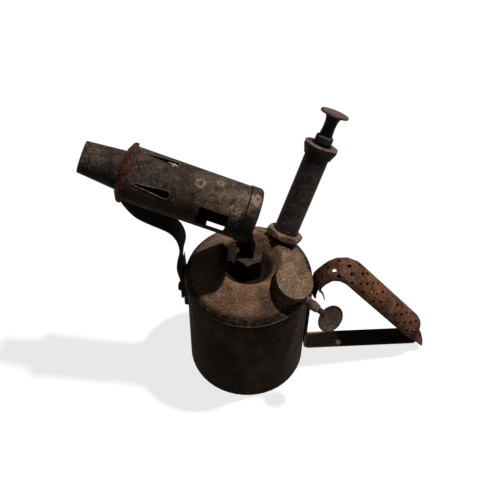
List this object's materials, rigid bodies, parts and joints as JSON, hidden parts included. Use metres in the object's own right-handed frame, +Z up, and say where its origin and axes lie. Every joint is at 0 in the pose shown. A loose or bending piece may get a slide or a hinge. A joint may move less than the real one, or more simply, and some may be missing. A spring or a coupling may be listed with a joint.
{
  "type": "paraffin blow lamp",
  "caption": "Blow lamp with a dished-top tank, a leaning hand pump, a screwed filler, a slotted burner on a riser and a folded strap handle with a perforated grip.",
  "frame": {"origin": "centre of the tank's foot, on the surface the lamp stands on", "axes": "+Z up along the tank's axis, +X from the tank's centre out through the handle, the burner pointing to -X"},
  "size_m": [0.2854, 0.13, 0.2288],
  "materials": {
    "tank_paint": "old dull lacquer over brass, dirty and pitted",
    "dark_steel": "blackened steel, dirty and lightly rusted",
    "burner_iron": "heat-darkened iron and steel with pale scale",
    "rusty_steel": "bare steel sheet, rusted brown all over",
    "old_brass": "dull brass, worn bright on edges",
    "dull_brass": "brass darkened by heat and dirt",
    "leather": "oiled leather"
  },
  "bodies": {
    "lamp": {"air_screw_gland": "old_brass", "burner_casing": "burner_iron", "filler_neck": "tank_paint", "flame_tube": "burner_iron", "front_plate": "burner_iron", "handle_grip": "rusty_steel", "handle_rivet_bottom": "rusty_steel", "handle_rivet_top": "rusty_steel", "handle_strap": "rusty_steel", "jet_nipple": "old_brass", "pickup_tube": "old_brass", "pump_barrel": "dull_brass", "pump_boss": "dull_brass", "pump_cap": "dull_brass", "pump_nut": "dull_brass", "riser_nut": "dull_brass", "stem_plug": "old_brass", "strap_bolt": "dark_steel", "strap_lug": "dark_steel", "support_strap": "dark_steel", "tank_base": "tank_paint", "tank_top": "tank_paint", "tank_wall": "tank_paint", "valve_body": "old_brass", "valve_keeper": "old_brass", "vaporiser_body": "burner_iron", "vapour_loop": "burner_iron"},
    "plunger": {"pump_rod": "dark_steel", "pump_knob": "dark_steel", "piston_plate": "dull_brass", "piston_leather": "leather", "piston_nut": "old_brass"},
    "valve": {"valve_disc": "leather"},
    "cap_seat": {"cap_washer": "leather"},
    "cap": {"filler_cap": "dull_brass"},
    "air_screw": {"air_screw": "dull_brass"}
  },
  "joints": [
    {"name": "pump_stroke", "type": "slide", "parent": "lamp", "child": "plunger", "axis": [0.3598, 0.401, 0.8425], "range_m": [0, 0.087]},
    {"name": "valve_lift", "type": "slide", "parent": "lamp", "child": "valve", "axis": [-0.3598, -0.401, -0.8425], "range_m": [0, 0.0012]},
    {"name": "cap_lift", "type": "slide", "parent": "lamp", "child": "cap_seat", "axis": [0.3321, -0.2614, 0.9063], "range_m": [0, 0.0045]},
    {"name": "cap_turn", "type": "hinge", "parent": "cap_seat", "child": "cap", "pos_m": [0.03371, -0.02653, 0.1322], "axis": [0.3321, -0.2614, 0.9063], "range_deg": [0, 1080]},
    {"name": "air_screw_turn", "type": "hinge", "parent": "lamp", "child": "air_screw", "pos_m": [0.06155, -0.04333, 0.10281], "axis": [0.7682, -0.4826, -0.4207], "range_deg": [0, 540]}
  ],
  "couplings": [
    {"joint": "cap_lift", "follows": "cap_turn", "m_per_rad": 0.00023873}
  ]
}
